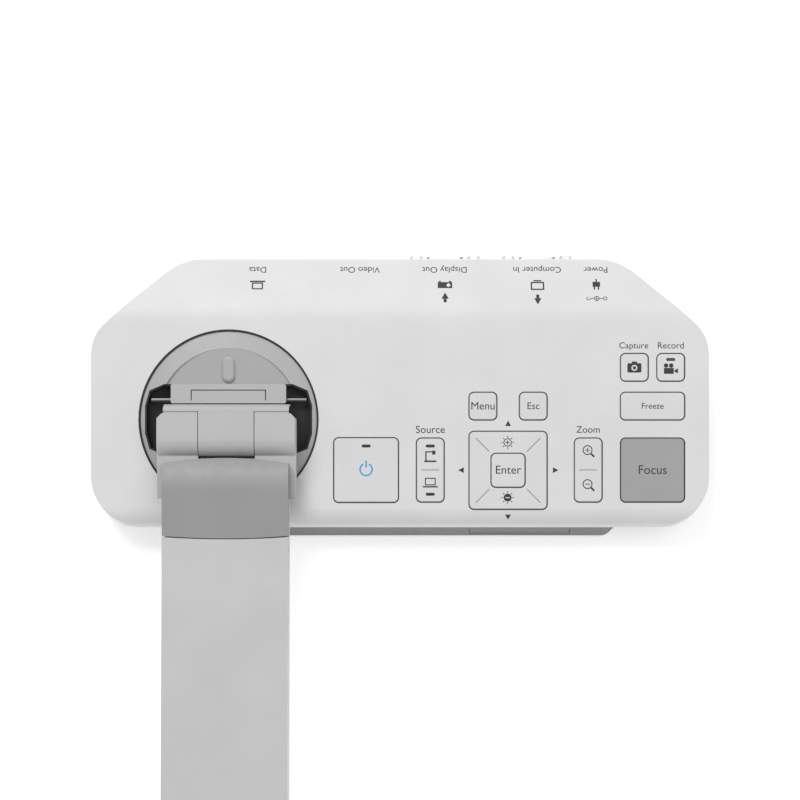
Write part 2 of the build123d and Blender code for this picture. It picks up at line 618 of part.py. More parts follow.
def disc(plane, x, y, radius, near, far, mode=Mode.ADD):
    """Round piece square to a side plane, centred on the plane's point x, y."""
    with BuildSketch(plane.offset(near)) as side:
        with Locations((x, y)):
            Circle(radius)
    extrude(side.sketch, amount=far - near, mode=mode)


def arch(plane_height, start, end, sag, half):
    """Plan outline of a piece along the arm from start to end, its rear edge bowed by sag."""
    top = Plane(origin=ARM.from_local_coords((0, plane_height, 0)), x_dir=(-1, 0, 0), z_dir=ARM.y_dir)
    with BuildSketch(top) as plan:
        with BuildLine():
            ThreePointArc((-half, start + sag), (0, start), (half, start + sag))
            Line((half, start + sag), (half, end - sag / 2))
            ThreePointArc((half, end - sag / 2), (0, end), (-half, end - sag / 2))
            Line((-half, end - sag / 2), (-half, start + sag))
        make_face()
    return plan.sketch


# ---- Hinge at the turret ----------------------------------------------------------------------
SWEEP_R = math.hypot(KNUCKLE_BACK, KNUCKLE_TOP)
FLAT_END = 1.0
ROUND_S = FLAT_END + KNUCKLE_ROUND * math.sin(math.radians(60))
ROUND_W = KNUCKLE_TOP - KNUCKLE_ROUND * (1 - math.cos(math.radians(60)))
MID_S = FLAT_END + KNUCKLE_ROUND * math.sin(math.radians(30))
MID_W = KNUCKLE_TOP - KNUCKLE_ROUND * (1 - math.cos(math.radians(30)))


def knuckle(plane, near, far, back, under):
    """Hinge knuckle, flat on top and round at the front; back and under list the rest of its outline."""
    with BuildSketch(plane.offset(near)) as side:
        with BuildLine():
            Line(back[0], (FLAT_END, KNUCKLE_TOP))
            ThreePointArc((FLAT_END, KNUCKLE_TOP), (MID_S, MID_W), (ROUND_S, ROUND_W))
            Polyline((ROUND_S, ROUND_W), *under, *back[::-1])
        make_face()
    extrude(side.sketch, amount=far - near)


def ring_wall(near, far):
    """Thin curved wall behind the swept edge of the side knuckles, down to the saddle."""
    inner = SWEEP_R + FAIRING_GAP
    outer = inner + FAIRING_T
    inner_top = -math.sqrt(inner**2 - KNUCKLE_TOP**2)
    outer_top = -math.sqrt(outer**2 - KNUCKLE_TOP**2)
    half_up = KNUCKLE_TOP / 2
    inner_mid = -math.sqrt(inner**2 - half_up**2)
    outer_mid = -math.sqrt(outer**2 - half_up**2)
    low = SADDLE_LOW - PIVOT_N
    with BuildSketch(FIXED.offset(near)) as side:
        with BuildLine():
            Line((inner_top, KNUCKLE_TOP), (outer_top, KNUCKLE_TOP))
            ThreePointArc((outer_top, KNUCKLE_TOP), (outer_mid, half_up), (-outer, 0))
            Polyline((-outer, 0), (-outer, low), (-inner, low), (-inner, 0))
            ThreePointArc((-inner, 0), (inner_mid, half_up), (inner_top, KNUCKLE_TOP))
        make_face()
    extrude(side.sketch, amount=far - near)


SADDLE_LOW = -2.0
FAIRING_X = 26.6
with BuildPart() as hinge_bracket:
    knuckle(FIXED, -KNUCKLE_X, KNUCKLE_X, back=[(-11.2, KNUCKLE_TOP), (-13.2, 0), (-13.2, -8.0)],
            under=[(8.2, ROUND_W), (8.2, -8.0)])
    slab(FIXED, -KNUCKLE_X, KNUCKLE_X, points=(
        (-8.5, -8.0), (6.5, -8.0), (6.5, POCKET_FLOOR - PIVOT_N), (-8.5, POCKET_FLOOR - PIVOT_N)))
    ring_wall(-FAIRING_X, FAIRING_X)
    disc(FIXED, 0, 0, SHAFT_R + SHAFT_FIT, -30, 30, Mode.SUBTRACT)
finish("hinge_bracket", hinge_bracket)

with BuildPart() as root_knuckles:
    for near, far in ((-ARM_HALF, -KNUCKLE_X - 0.3), (KNUCKLE_X + 0.3, ARM_HALF)):
        rear_edge = [(KNUCKLE_BACK, KNUCKLE_TOP), (KNUCKLE_BACK, 2.5), (-7.5, -5.0), (-5.5, KNUCKLE_LOW)]
        knuckle(ARM, near, far, back=rear_edge,
                under=[(13.0, ROUND_W), (13.0, SPLIT_W), (CAP_START - 0.1, SPLIT_W), (CAP_START - 0.1, KNUCKLE_LOW)])
    disc(ARM, 0, 0, SHAFT_R, -30, 30, Mode.SUBTRACT)
finish("root_knuckles", root_knuckles)

with BuildPart() as hinge_shaft:
    disc(ARM, 0, 0, SHAFT_R, -ARM_HALF, ARM_HALF)
finish("hinge_shaft", hinge_shaft)

CHEEK_T = 2.95
with BuildPart() as hinge_cheeks:
    for near, far in ((-ARM_HALF - CHEEK_T, -ARM_HALF), (ARM_HALF, ARM_HALF + CHEEK_T)):
        knuckle(ARM, near, far, back=[(-9.6, KNUCKLE_TOP), (-9.6, 0), (-6, -5.5), (-4, KNUCKLE_LOW)],
                under=[(CHEEK_END, 1.4), (CHEEK_END, -3.6), (CHEEK_END - 3, KNUCKLE_LOW)])
    for side in (-1, 1):
        outer = hinge_cheeks.faces().sort_by(Axis.X)[0 if side < 0 else -1]
        chamfer(outer.edges().sort_by(Axis.Y)[-1], 2.2)
        top_edges = hinge_cheeks.faces().sort_by(Axis.X)[0 if side < 0 else -1].edges().sort_by(Axis.Z)[-2:]
        fillet(top_edges, 1.0)
finish("hinge_cheeks", hinge_cheeks)

# ---- Lower arm --------------------------------------------------------------------------------
SHELL_T = 2.0
TIP_R = 8.0

with BuildPart() as root_cap:
    with BuildSketch(ARM.offset(-ARM_HALF)) as side:
        with BuildLine():
            Line((CAP_START, 3.0), (CAP_START, 7.6))
            ThreePointArc((CAP_START, 7.6), (15.6, 10.4), (23.0, ARM_HIGH))
            Polyline((23.0, ARM_HIGH), (CAP_END, ARM_HIGH), (CAP_END, 3.0), (CAP_START, 3.0))
        make_face()
    extrude(side.sketch, amount=2 * ARM_HALF)
    extrude(arch(-10, CAP_START, CAP_END, 2.2, ARM_HALF), amount=40, mode=Mode.INTERSECT)
    with BuildSketch(ARM.offset(-ARM_HALF + 2.2)) as hollow:
        with BuildLine():
            Polyline(
                (CAP_START + 4, 2), (CAP_START + 4, 6.2), (23, 9.2), (CAP_END + 2, 9.2), (CAP_END + 2, 2), close=True,
            )
        make_face()
    extrude(hollow.sketch, amount=2 * ARM_HALF - 4.4, mode=Mode.SUBTRACT)
finish("root_cap", root_cap)

with BuildPart() as lower_arm_top:
    slab(ARM, -ARM_HALF, ARM_HALF, points=(
        (CAP_END - 4, SPLIT_W), (CAP_END - 4, ARM_HIGH), (ARM_END, ARM_HIGH), (ARM_END, SPLIT_W)),
        rounds=((ARM_END, ARM_HIGH, TIP_R),))
    slab(ARM, SHELL_T - ARM_HALF, ARM_HALF - SHELL_T, Mode.SUBTRACT, points=(
        (CAP_END - 5, SPLIT_W - 1), (CAP_END - 5, ARM_HIGH - SHELL_T), (ARM_END - SHELL_T, ARM_HIGH - SHELL_T),
        (ARM_END - SHELL_T, SPLIT_W - 1)), rounds=((ARM_END - SHELL_T, ARM_HIGH - SHELL_T, TIP_R - SHELL_T),))
    extrude(arch(-20, CAP_START - 30, CAP_END + 0.35, 2.2, ARM_HALF + 2), amount=60, mode=Mode.SUBTRACT)
    # openings for the elbow yoke
    for side in (-1, 1):
        middle = side * (EAR_IN + EAR_OUT) / 2
        slab(ARM, middle - 4.2, middle + 4.2, Mode.SUBTRACT, points=(
            (ELBOW_S - 9.7, 5), (ELBOW_S - 9.7, 20), (ELBOW_S + 9.7, 20), (ELBOW_S + 9.7, 5)))
finish("lower_arm_top", lower_arm_top)

with BuildPart() as lower_arm_bottom:
    slab(ARM, -ARM_HALF, ARM_HALF, points=(
        (CAP_START + 0.1, SPLIT_W - 0.05), (CAP_START + 0.1, ARM_LOW), (ARM_END, ARM_LOW),
        (ARM_END, SPLIT_W - 0.05)), rounds=((ARM_END, ARM_LOW, 5),))
    slab(ARM, SHELL_T - ARM_HALF, ARM_HALF - SHELL_T, Mode.SUBTRACT, points=(
        (CAP_START + 2, SPLIT_W + 1), (CAP_START + 2, ARM_LOW + SHELL_T), (ARM_END - SHELL_T, ARM_LOW + SHELL_T),
        (ARM_END - SHELL_T, SPLIT_W + 1)), rounds=((ARM_END - SHELL_T, ARM_LOW + SHELL_T, 3),))
finish("lower_arm_bottom", lower_arm_bottom)

BEAM_X = 12.5
with BuildPart() as lower_arm_beam:
    slab(ARM, -BEAM_X, BEAM_X, points=(
        (CAP_START + 4.2, -4.8), (CAP_START + 4.2, 5.4), (23, 7.2), (ELBOW_S + 6, 7.2), (ELBOW_S + 6, -4.8)))
    slab(ARM, -EAR_IN, EAR_IN, points=(
        (ELBOW_S - 9, -4.8), (ELBOW_S - 9, 7.2), (ELBOW_S + 6, 7.2), (ELBOW_S + 6, -4.8)))
    slab(ARM, 2 - BEAM_X, BEAM_X - 2, Mode.SUBTRACT, points=(
        (CAP_START - 2, -2.8), (CAP_START - 2, 12), (ELBOW_S - 12, 12), (ELBOW_S - 12, -2.8)))
finish("lower_arm_beam", lower_arm_beam)

with BuildPart() as elbow_yoke:
    for near, far in ((-EAR_OUT, -EAR_IN), (EAR_IN, EAR_OUT)):
        slab(ARM, near, far, points=(
            (ELBOW_S - ELBOW_R, -4.9), (ELBOW_S - ELBOW_R, ELBOW_W), (ELBOW_S + ELBOW_R, ELBOW_W),
            (ELBOW_S + ELBOW_R - 1, 9), (ELBOW_S + ELBOW_R - 1, -1.0), (ELBOW_S + 6, -4.9)))
        disc(ARM, ELBOW_S, ELBOW_W, ELBOW_R, near, far)
    disc(ARM, ELBOW_S, ELBOW_W, SHAFT_R, -30, 30, Mode.SUBTRACT)
finish("elbow_yoke", elbow_yoke)

with BuildPart() as elbow_shaft:
    disc(ARM, ELBOW_S, ELBOW_W, SHAFT_R, -EAR_OUT, EAR_OUT)
finish("elbow_shaft", elbow_shaft)

PAD_S0, PAD_S1 = 188.0, 202.0
with BuildPart() as elbow_pads:
    for middle in (-16, 16):
        with BuildSketch(Plane.XY) as sole:
            with Locations((TURRET_X + middle, ARM.from_local_coords(((PAD_S0 + PAD_S1) / 2, 0, 0)).Y)):
                RectangleRounded(14, PAD_S1 - PAD_S0, 3)
        extrude(sole.sketch, amount=14)
    slab(ARM, -ARM_HALF, ARM_HALF, Mode.INTERSECT, points=(
        (PAD_S0 - 20, ARM_LOW), (PAD_S0 - 20, ARM_LOW - 12), (ARM_END, ARM_LOW - 12), (ARM_END, ARM_LOW)))
finish("elbow_pads", elbow_pads)

# ---- Upper arm --------------------------------------------------------------------------------


def upper_shell(face):
    """Half shell of the upper arm on the side face, -1 for the front and 1 for the rear."""
    inner = face * (UPPER_DEPTH - SHELL_T)
    slab(UPPER, -UPPER_HALF, UPPER_HALF, points=(
        (UPPER_START, face * 0.05), (UPPER_START, face * UPPER_DEPTH), (UPPER_END, face * UPPER_DEPTH),
        (UPPER_END, face * 0.05)), rounds=(
            (UPPER_START, face * UPPER_DEPTH, 3), (UPPER_END, face * UPPER_DEPTH, 3)))
    slab(UPPER, SHELL_T - UPPER_HALF, UPPER_HALF - SHELL_T, Mode.SUBTRACT, points=(
        (UPPER_START + SHELL_T, -face), (UPPER_START + SHELL_T, inner), (UPPER_END - SHELL_T, inner),
        (UPPER_END - SHELL_T, -face)))
    # clearance for the beam's knuckle and ears
    slab(UPPER, -14.4, 14.4, Mode.SUBTRACT, points=(
        (UPPER_START - 1, -5.4), (UPPER_START - 1, 5.4), (UPPER_START + 4, 5.4), (UPPER_START + 4, -5.4)))
    slab(UPPER, -EAR_OUT + 0.2, EAR_OUT - 0.2, Mode.SUBTRACT, points=(
        (UPPER_END - 4, -5.4), (UPPER_END - 4, 5.4), (UPPER_END + 1, 5.4), (UPPER_END + 1, -5.4)))


with BuildPart() as upper_arm_front:
    upper_shell(-1)
finish("upper_arm_front", upper_arm_front)

with BuildPart() as upper_arm_rear:
    upper_shell(1)
finish("upper_arm_rear", upper_arm_rear)

BEAM_D = 5.0
with BuildPart() as upper_arm_beam:
    knuckle_in = EAR_IN - 0.3
    disc(UPPER, 0, 0, ELBOW_R - 0.3, -knuckle_in, knuckle_in)
    slab(UPPER, -knuckle_in, knuckle_in, points=(
        (0, -BEAM_D), (0, BEAM_D), (UPPER_END - 12, BEAM_D), (UPPER_END - 12, -BEAM_D)))
    slab(UPPER, 2 - knuckle_in, knuckle_in - 2, Mode.SUBTRACT, points=(
        (16, -BEAM_D - 1), (16, BEAM_D - 2), (UPPER_END - 20, BEAM_D - 2), (UPPER_END - 20, -BEAM_D - 1)))
    slab(UPPER, -EAR_OUT + 0.5, EAR_OUT - 0.5, points=(
        (UPPER_END - 16, -BEAM_D), (UPPER_END - 16, BEAM_D), (UPPER_END - 3, BEAM_D), (UPPER_END - 3, -BEAM_D)))
    for near, far in ((-EAR_OUT + 0.5, -TILT_EAR_IN), (TILT_EAR_IN, EAR_OUT - 0.5)):
        slab(UPPER, near, far, points=(
            (UPPER_END - 4, -BEAM_D), (UPPER_END - 4, BEAM_D), (UPPER_LENGTH, BEAM_D), (UPPER_LENGTH, -BEAM_D)))
        disc(UPPER, UPPER_LENGTH, 0, TILT_EAR_R, near, far)
    disc(UPPER, 0, 0, SHAFT_R + SHAFT_FIT, -30, 30, Mode.SUBTRACT)
    disc(UPPER, UPPER_LENGTH, 0, 3.0, -30, 30, Mode.SUBTRACT)
finish("upper_arm_beam", upper_arm_beam)

with BuildPart() as tilt_shaft:
    disc(UPPER, UPPER_LENGTH, 0, 3.0, -EAR_OUT + 0.5, EAR_OUT - 0.5)
finish("tilt_shaft", tilt_shaft)

# ---- Camera head ------------------------------------------------------------------------------
neck_half = TILT_EAR_IN - 0.3


def along_head(distance, rise=0.0):
    """Plane square to the head's long axis at a distance in front of the tilt axis."""
    return Plane(origin=HEAD.from_local_coords((distance, rise, 0)), x_dir=(1, 0, 0), z_dir=(0, -1, 0))


with BuildPart() as neck_block:
    disc(HEAD, 0, 0, TILT_EAR_R, -neck_half, neck_half)
    slab(HEAD, -neck_half + 1.5, neck_half - 1.5, points=((0, -6), (0, 6), (20, 6), (20, -6)))
    rod(along_head(HEAD_START - 6), 9.5, 5.6)
    rod(along_head(HEAD_START - 1), ROLL_R, 15)
    rod(along_head(HEAD_START + 9.4), ROLL_R + 2.5, 3.6)
    disc(HEAD, 0, 0, 3.05, -30, 30, Mode.SUBTRACT)
finish("neck_block", neck_block)

head_mid = (HEAD_START + HEAD_END) / 2
head_length = HEAD_END - HEAD_START


def head_plan(inset):
    """Plan outline of the head on a level plane through the tilt axis."""
    level = Plane(origin=HEAD.from_local_coords((head_mid, 0, 0)), x_dir=(1, 0, 0), z_dir=(0, 0, 1))
    with BuildSketch(level) as plan:
        RectangleRounded(2 * (HEAD_HALF - inset), head_length - 2 * inset, 9 - inset)
    return plan.sketch


with BuildPart() as head_top:
    extrude(head_plan(0), amount=HEAD_RISE)
    fillet(head_top.faces().sort_by(Axis.Z)[-1].edges(), 3.5)
    extrude(head_plan(SHELL_T), amount=HEAD_RISE - SHELL_T, mode=Mode.SUBTRACT)
    # half bearing block for the roll spindle
    slab(HEAD, -9, 9, points=((HEAD_START + 0.5, 0), (HEAD_START + 0.5, 12), (HEAD_START + 9, 12), (HEAD_START + 9, 0)))
    rod(along_head(HEAD_START - 2), ROLL_R + ROLL_FIT, 20, Mode.SUBTRACT)
    # slot for the lamp switch on the right side
    slab(HEAD, -HEAD_HALF - 1, -HEAD_HALF + 4, Mode.SUBTRACT, points=((56, 2.6), (56, 6.4), (68, 6.4), (68, 2.6)))
finish("head_top", head_top)

with BuildPart() as head_bottom:
    extrude(head_plan(0), amount=-HEAD_RISE)
    fillet(head_bottom.faces().sort_by(Axis.Z)[0].edges(), 3.5)
    extrude(head_plan(SHELL_T), amount=SHELL_T - HEAD_RISE, mode=Mode.SUBTRACT)
    slab(HEAD, -9, 9, points=(
        (HEAD_START + 0.5, 0), (HEAD_START + 0.5, -12), (HEAD_START + 9, -12), (HEAD_START + 9, 0)))
    rod(along_head(HEAD_START - 2), ROLL_R + ROLL_FIT, 20, Mode.SUBTRACT)
    rod(Plane(origin=HEAD.from_local_coords((LENS_D, -20, 0)), z_dir=(0, 0, 1)), 11.3, 15, Mode.SUBTRACT)
    prism(Plane(origin=HEAD.from_local_coords((LAMP_D, -20, 0)), z_dir=(0, 0, 1)), 22.4, 12.4, 15, 3, Mode.SUBTRACT)
    for d, side in ((44, -1), (44, 1), (86, -1), (86, 1)):
        rod(Plane(origin=HEAD.from_local_coords((d, -20, side * 14)), z_dir=(0, 0, 1)), 1.2, 12, Mode.SUBTRACT)
finish("head_bottom", head_bottom)

with BuildPart() as lens_barrel:
    rod(Plane(origin=HEAD.from_local_coords((LENS_D, -15.5, 0)), z_dir=(0, 0, 1)), 11.0, 17)
    rod(Plane(origin=HEAD.from_local_coords((LENS_D, -16, 0)), z_dir=(0, 0, 1)), 8.0, 3.5, Mode.SUBTRACT)
    rod(Plane(origin=HEAD.from_local_coords((LENS_D, -13, 0)), z_dir=(0, 0, 1)), 6.0, 13, Mode.SUBTRACT)
finish("lens_barrel", lens_barrel)

with BuildPart() as lens_glass:
    rod(Plane(origin=HEAD.from_local_coords((LENS_D, -12.5, 0)), z_dir=(0, 0, -1)), 7.9, 1.2)
finish("lens_glass", lens_glass)

with BuildPart() as camera_board:
    prism(Plane(origin=HEAD.from_local_coords((84, 1.6, 0)), z_dir=(0, 0, 1)), 34, 60, 1.4, 3)
finish("camera_board", camera_board)

with BuildPart() as lamp_diffuser:
    prism(Plane(origin=HEAD.from_local_coords((LAMP_D, -12.8, 0)), z_dir=(0, 0, 1)), 22.0, 12.0, 3.4, 2.8)
finish("lamp_diffuser", lamp_diffuser)

with BuildPart() as lamp_switch:
    slab(HEAD, -HEAD_HALF - 1.0, -HEAD_HALF + 2.7, points=((57, 3.2), (57, 5.8), (63, 5.8), (63, 3.2)))
finish("lamp_switch", lamp_switch)

with BuildPart() as head_screws:
    for d, side in ((44, -1), (44, 1), (86, -1), (86, 1)):
        rod(Plane(origin=HEAD.from_local_coords((d, -12.4, side * 14)), z_dir=(0, 0, 1)), 1.15, 6)
finish("head_screws", head_screws)
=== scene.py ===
import json
import math

import bmesh
import bpy
from mathutils import Matrix, Vector


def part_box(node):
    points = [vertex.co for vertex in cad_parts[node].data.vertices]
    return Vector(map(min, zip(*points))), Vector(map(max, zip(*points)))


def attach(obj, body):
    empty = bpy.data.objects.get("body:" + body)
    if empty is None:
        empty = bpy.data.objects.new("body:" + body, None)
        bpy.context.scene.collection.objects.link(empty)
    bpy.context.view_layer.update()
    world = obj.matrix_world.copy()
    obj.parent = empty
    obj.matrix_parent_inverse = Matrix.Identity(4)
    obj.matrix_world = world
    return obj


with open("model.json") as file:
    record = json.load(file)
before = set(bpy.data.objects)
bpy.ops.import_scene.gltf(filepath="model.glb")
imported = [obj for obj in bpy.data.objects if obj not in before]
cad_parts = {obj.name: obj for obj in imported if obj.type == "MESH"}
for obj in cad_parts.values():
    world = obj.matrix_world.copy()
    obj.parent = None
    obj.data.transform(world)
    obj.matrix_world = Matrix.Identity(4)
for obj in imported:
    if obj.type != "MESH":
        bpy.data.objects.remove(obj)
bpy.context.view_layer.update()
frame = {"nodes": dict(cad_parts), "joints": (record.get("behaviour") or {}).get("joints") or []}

MM = 0.001

# ---- Control panel frame ----------------------------------------------------------------------
swivel = next(joint for joint in frame["joints"] if joint["name"] == "turret_swivel")
TURRET_X, TURRET_U = -73.6 * MM, -8.37 * MM
ACROSS = Vector((1, 0, 0))
NORMAL = Vector(swivel["axis"]).normalized()
UPWARD = NORMAL.cross(ACROSS)
PANEL_ORIGIN = Vector(swivel["pos_m"]) - TURRET_X * ACROSS - TURRET_U * UPWARD
CAMERA_DISTANCE = 1.05
CAMERA_LENS = 110.09

# ---- Light levels -----------------------------------------------------------------------------
WORLD_LEVEL = 0.46
FLOOR_GLOW = 0.48
KEY_WATTS, KEY_SIZE, KEY_PLACE = 19.4, 0.9, (-0.55, 0.85, 1.75)
FILL_WATTS, FILL_SIZE, FILL_PLACE = 6.4, 1.2, (0.7, 0.1, 1.9)
LIT_MIDDLE = (-0.02, -0.03, 0.04)


def on_panel(x, u, n=0.0):
    """Point in metres at x, u, n millimetres in the control panel's frame."""
    return PANEL_ORIGIN + MM * (x * ACROSS + u * UPWARD + n * NORMAL)


def facing(origin, right, normal):
    """Matrix of a local frame whose x is right and z is normal."""
    up = normal.cross(right)
    return Matrix.Translation(origin) @ Matrix((right, up, normal)).transposed().to_4x4()


# ---- Camera, floor and light ------------------------------------------------------------------


def make_camera():
    data = bpy.data.cameras.new("view")
    data.lens = CAMERA_LENS
    data.clip_end = 50
    camera = bpy.data.objects.new("view", data)
    bpy.context.scene.collection.objects.link(camera)
    camera.matrix_world = facing(PANEL_ORIGIN + CAMERA_DISTANCE * NORMAL, ACROSS, NORMAL)
    bpy.context.scene.camera = camera


def make_floor():
    """Plain pale floor, a little self-lit so that it stays near white under the soft light."""
    mesh = bpy.data.meshes.new("floor")
    half = 4.0
    corners = [(-half, -half, 0), (half, -half, 0), (half, half, 0), (-half, half, 0)]
    mesh.from_pydata(corners, [], [(0, 1, 2, 3)])
    floor = bpy.data.objects.new("floor", mesh)
    bpy.context.scene.collection.objects.link(floor)
    material = bpy.data.materials.new("floor")
    material.use_nodes = True
    shader = material.node_tree.nodes["Principled BSDF"]
    shader.inputs["Base Color"].default_value = (0.86, 0.86, 0.86, 1)
    shader.inputs["Roughness"].default_value = 0.9
    shader.inputs["Emission Color"].default_value = (1, 1, 1, 1)
    shader.inputs["Emission Strength"].default_value = FLOOR_GLOW
    mesh.materials.append(material)


def area_light(name, place, target, size, watts):
    data = bpy.data.lights.new(name, "AREA")
    data.shape = "DISK"
    data.size = size
    data.energy = watts
    light = bpy.data.objects.new(name, data)
    bpy.context.scene.collection.objects.link(light)
    away = (Vector(place) - Vector(target)).normalized()
    light.matrix_world = Matrix.Translation(place) @ away.to_track_quat("Z", "Y").to_matrix().to_4x4()


def make_light():
    world = bpy.data.worlds.new("studio")
    world.use_nodes = True
    background = world.node_tree.nodes["Background"]
    background.inputs["Color"].default_value = (1, 1, 1, 1)
    background.inputs["Strength"].default_value = WORLD_LEVEL
    bpy.context.scene.world = world
    area_light("key", KEY_PLACE, LIT_MIDDLE, KEY_SIZE, KEY_WATTS)
    area_light("fill", FILL_PLACE, LIT_MIDDLE, FILL_SIZE, FILL_WATTS)
    bpy.context.scene.view_settings.view_transform = "Standard"


# ---- Materials --------------------------------------------------------------------------------


def new_material(name):
    material = bpy.data.materials.new(name)
    material.use_nodes = True
    return material, material.node_tree.nodes, material.node_tree.links


def noise(nodes, links, scale, detail=2.0):
    """Noise texture in the object's own metres."""
    where = nodes.new("ShaderNodeTexCoord")
    texture = nodes.new("ShaderNodeTexNoise")
    texture.inputs["Scale"].default_value = scale
    texture.inputs["Detail"].default_value = detail
    links.new(where.outputs["Object"], texture.inputs["Vector"])
    return texture.outputs["Fac"]


def spread(nodes, links, value, low, high):
    """Value mapped from the middle of a noise to the range low to high."""
    span = nodes.new("ShaderNodeMapRange")
    span.inputs["From Min"].default_value = 0.3
    span.inputs["From Max"].default_value = 0.7
    span.inputs["To Min"].default_value = low
    span.inputs["To Max"].default_value = high
    links.new(value, span.inputs["Value"])
    return span.outputs["Result"]


def tint(nodes, links, value, dark, light):
    """Colour that runs from dark to light with a noise."""
    ramp = nodes.new("ShaderNodeValToRGB")
    ramp.color_ramp.elements[0].position = 0.3
    ramp.color_ramp.elements[0].color = (*dark, 1)
    ramp.color_ramp.elements[1].position = 0.7
    ramp.color_ramp.elements[1].color = (*light, 1)
    links.new(value, ramp.inputs["Fac"])
    return ramp.outputs["Color"]


def bumps(nodes, links, shader, height, distance, strength=1.0):
    """Surface relief from a height, distance in metres."""
    bump = nodes.new("ShaderNodeBump")
    bump.inputs["Distance"].default_value = distance
    bump.inputs["Strength"].default_value = strength
    links.new(height, bump.inputs["Height"])
    links.new(bump.outputs["Normal"], shader.inputs["Normal"])


def moulded(name, colour, roughness=0.45, grain=1800, relief=0.03, drift=0.025, specular=0.4):
    """Moulded plastic: fine spark-eroded grain, slow colour drift and uneven sheen."""
    material, nodes, links = new_material(name)
    shader = nodes["Principled BSDF"]
    dark = [c * (1 - drift) for c in colour]
    light = [min(1, c * (1 + drift)) for c in colour]
    links.new(tint(nodes, links, noise(nodes, links, 38, 4), dark, light), shader.inputs["Base Color"])
    sheen = spread(nodes, links, noise(nodes, links, 240, 3), roughness - 0.05, roughness + 0.06)
    links.new(sheen, shader.inputs["Roughness"])
    shader.inputs["Specular IOR Level"].default_value = specular
    bumps(nodes, links, shader, noise(nodes, links, grain, 3), relief * MM)
    return material


def metal(name, colour, roughness=0.3, stretch=(1, 1, 1), relief=0.01):
    """Bright metal with fine drawn or turned lines along its stretched axis."""
    material, nodes, links = new_material(name)
    shader = nodes["Principled BSDF"]
    shader.inputs["Metallic"].default_value = 1.0
    where = nodes.new("ShaderNodeTexCoord")
    scaled = nodes.new("ShaderNodeMapping")
    scaled.inputs["Scale"].default_value = stretch
    texture = nodes.new("ShaderNodeTexNoise")
    texture.inputs["Scale"].default_value = 900
    texture.inputs["Detail"].default_value = 4
    links.new(where.outputs["Object"], scaled.inputs["Vector"])
    links.new(scaled.outputs["Vector"], texture.inputs["Vector"])
    lines = texture.outputs["Fac"]
    dark = [c * 0.88 for c in colour]
    links.new(tint(nodes, links, lines, dark, colour), shader.inputs["Base Color"])
    links.new(spread(nodes, links, lines, roughness - 0.08, roughness + 0.12), shader.inputs["Roughness"])
    bumps(nodes, links, shader, lines, relief * MM)
    return material


def circuit_board(name):
    """Green solder mask with copper tracks showing through as a slight relief."""
    material, nodes, links = new_material(name)
    shader = nodes["Principled BSDF"]
    where = nodes.new("ShaderNodeTexCoord")
    tracks = nodes.new("ShaderNodeTexBrick")
    tracks.inputs["Scale"].default_value = 260
    tracks.inputs["Color1"].default_value = (0.02, 0.16, 0.05, 1)
    tracks.inputs["Color2"].default_value = (0.03, 0.22, 0.08, 1)
    tracks.inputs["Mortar"].default_value = (0.10, 0.34, 0.13, 1)
    tracks.inputs["Mortar Size"].default_value = 0.03
    links.new(where.outputs["Object"], tracks.inputs["Vector"])
    links.new(tracks.outputs["Color"], shader.inputs["Base Color"])
    shader.inputs["Roughness"].default_value = 0.35
    bumps(nodes, links, shader, tracks.outputs["Fac"], 0.03 * MM)
    return material


def coated_glass(name):
    """Dark coated lens glass with a faint uneven bloom."""
    material, nodes, links = new_material(name)
    shader = nodes["Principled BSDF"]
    bloom = tint(nodes, links, noise(nodes, links, 120, 2), (0.012, 0.010, 0.03), (0.03, 0.02, 0.07))
    links.new(bloom, shader.inputs["Base Color"])
    shader.inputs["Roughness"].default_value = 0.04
    shader.inputs["Coat Weight"].default_value = 1.0
    shader.inputs["Specular IOR Level"].default_value = 0.8
    return material


def grey(level):
    return (level, level, level)


